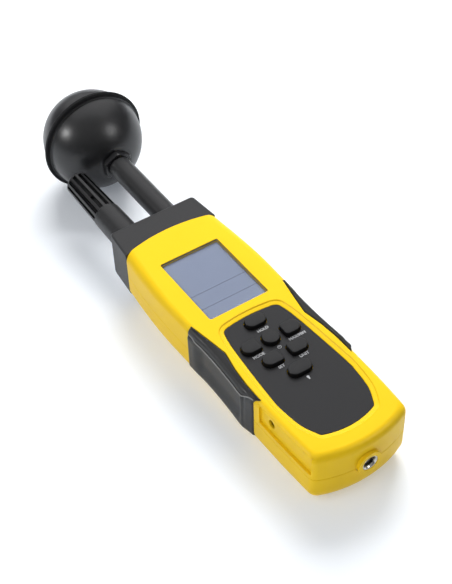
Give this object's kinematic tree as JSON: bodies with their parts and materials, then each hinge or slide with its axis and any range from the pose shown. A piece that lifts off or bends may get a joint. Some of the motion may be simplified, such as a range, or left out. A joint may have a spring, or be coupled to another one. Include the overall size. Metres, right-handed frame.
{
  "type": "hand-held heat stress meter",
  "caption": "Hand-held heat stress meter with a black temperature globe on a stem, a slotted air and humidity probe, a display and a keypad.",
  "frame": {"origin": "on the flat back of the housing, on its centre line, midway between the bottom corners and the sensor head's end", "axes": "+X across the width to the reader's right, +Y along the length towards the globe, +Z out of the display"},
  "size_m": [0.0656, 0.2699, 0.0552],
  "materials": {
    "yellow_plastic": "fine satin moulded plastic",
    "black_plastic": "fine matt spark texture",
    "globe_black": "satin black paint",
    "grip_rubber": "satin moulded rubber",
    "key_rubber": "matt silicone rubber",
    "overlay_film": "fine matt printed film",
    "window_plastic": "clear",
    "display_glass": "clear",
    "diffuser": "milky",
    "circuit_board": "solder mask",
    "component_black": "moulded epoxy",
    "steel": "zinc plated",
    "insert_metal": "nickel plated brass",
    "battery_case": "printed steel jacket"
  },
  "bodies": {
    "meter": {"front_housing": "yellow_plastic", "rear_housing": "yellow_plastic", "sensor_head": "black_plastic", "left_grip": "grip_rubber", "right_grip": "grip_rubber", "keypad_overlay": "overlay_film", "keypad_mat": "key_rubber", "display_window": "window_plastic", "display_glass": "display_glass", "display_backlight": "diffuser", "display_contact_strip": "key_rubber", "display_frame": "component_black", "housing_screw_1": "steel", "housing_screw_2": "steel", "housing_screw_3": "steel", "housing_screw_4": "steel", "tripod_insert": "insert_metal", "main_board": "circuit_board", "processor_chip": "component_black", "buzzer": "component_black", "battery": "battery_case", "battery_snap": "component_black", "output_jack": "component_black", "sensor_board": "circuit_board", "globe_stem": "black_plastic", "stem_nut": "steel", "globe_collar": "globe_black", "globe_sensor": "steel", "globe_near_half": "globe_black", "globe_far_half": "globe_black", "probe_cage": "black_plastic", "probe_board": "circuit_board", "humidity_sensor": "diffuser", "air_thermistor": "steel"},
    "battery_door": {"battery_door": "yellow_plastic"},
    "key_hold": {"key_hold": "key_rubber"},
    "key_power": {"key_power": "key_rubber"},
    "key_mode": {"key_mode": "key_rubber"},
    "key_max_min": {"key_max_min": "key_rubber"},
    "key_set": {"key_set": "key_rubber"},
    "key_unit": {"key_unit": "key_rubber"},
    "key_light": {"key_light": "key_rubber"}
  },
  "joints": [
    {"name": "battery_door_slide", "type": "slide", "parent": "meter", "child": "battery_door", "axis": [0, -1, 0], "range_m": [0, 0.08]},
    {"name": "key_hold_press", "type": "slide", "parent": "meter", "child": "key_hold", "axis": [0, 0, -1], "range_m": [0, 0.0008], "stiffness_N_per_m": 1500},
    {"name": "key_power_press", "type": "slide", "parent": "meter", "child": "key_power", "axis": [0, 0, -1], "range_m": [0, 0.0008], "stiffness_N_per_m": 1500},
    {"name": "key_mode_press", "type": "slide", "parent": "meter", "child": "key_mode", "axis": [0, 0, -1], "range_m": [0, 0.0008], "stiffness_N_per_m": 1500},
    {"name": "key_max_min_press", "type": "slide", "parent": "meter", "child": "key_max_min", "axis": [0, 0, -1], "range_m": [0, 0.0008], "stiffness_N_per_m": 1500},
    {"name": "key_set_press", "type": "slide", "parent": "meter", "child": "key_set", "axis": [0, 0, -1], "range_m": [0, 0.0008], "stiffness_N_per_m": 1500},
    {"name": "key_unit_press", "type": "slide", "parent": "meter", "child": "key_unit", "axis": [0, 0, -1], "range_m": [0, 0.0008], "stiffness_N_per_m": 1500},
    {"name": "key_light_press", "type": "slide", "parent": "meter", "child": "key_light", "axis": [0, 0, -1], "range_m": [0, 0.0008], "stiffness_N_per_m": 1500}
  ]
}
